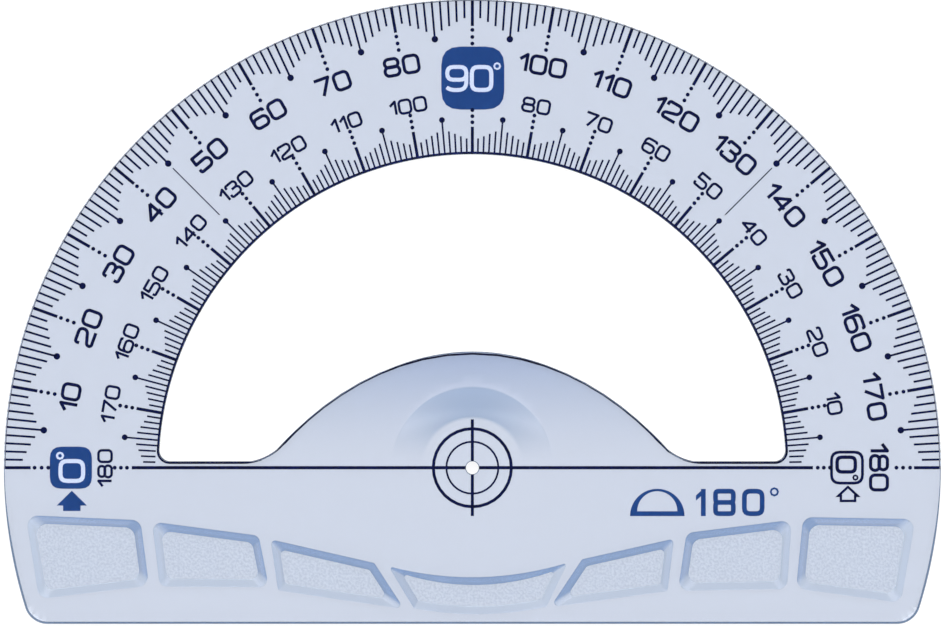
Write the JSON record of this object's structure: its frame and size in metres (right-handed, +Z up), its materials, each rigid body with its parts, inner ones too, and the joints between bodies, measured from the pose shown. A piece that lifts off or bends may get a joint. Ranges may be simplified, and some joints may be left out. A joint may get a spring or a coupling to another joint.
{
  "type": "protractor",
  "caption": "Flat half-circle school protractor in clear pale blue plastic, with an inner and an outer degree scale, a half-moon window, a pin hole and finger grips.",
  "frame": {"origin": "under the middle of the outline, on the plane that the protractor lies on; the pin hole's centre, where every angle is measured from, is at x 0, y -0.020 m", "axes": "+X along the zero line, towards the 0 of the inner scale; +Y towards the 90 degree mark; +Z up out of the upper face"},
  "size_m": [0.12, 0.08, 0.0026],
  "materials": {
    "clear_plastic": "clear, pale blue, polished, with grained grip recesses",
    "navy_ink": "printed ink",
    "blue_ink": "printed ink",
    "white_ink": "printed ink"
  },
  "bodies": {
    "root": {"plate": "clear_plastic", "outer_degree_scale": "navy_ink", "inner_degree_scale": "navy_ink", "inner_mark_1": "navy_ink", "inner_mark_2": "navy_ink", "inner_mark_3": "navy_ink", "inner_mark_177": "navy_ink", "inner_mark_178": "navy_ink", "inner_mark_179": "navy_ink", "window_border": "navy_ink", "zero_line_and_target": "navy_ink", "line_45": "navy_ink", "line_135": "navy_ink", "ninety_panel": "blue_ink", "ninety_nine": "white_ink", "ninety_zero": "white_ink", "ninety_degree_sign": "white_ink", "left_zero_panel": "blue_ink", "left_zero": "white_ink", "left_zero_degree_sign": "white_ink", "right_zero_frame": "navy_ink", "right_zero": "navy_ink", "right_zero_degree_sign": "navy_ink", "left_arrow": "blue_ink", "right_arrow": "navy_ink", "legend_half_circle": "blue_ink", "legend_one": "blue_ink", "legend_eight": "blue_ink", "legend_zero": "blue_ink", "legend_degree_sign": "blue_ink"}
  },
  "joints": []
}
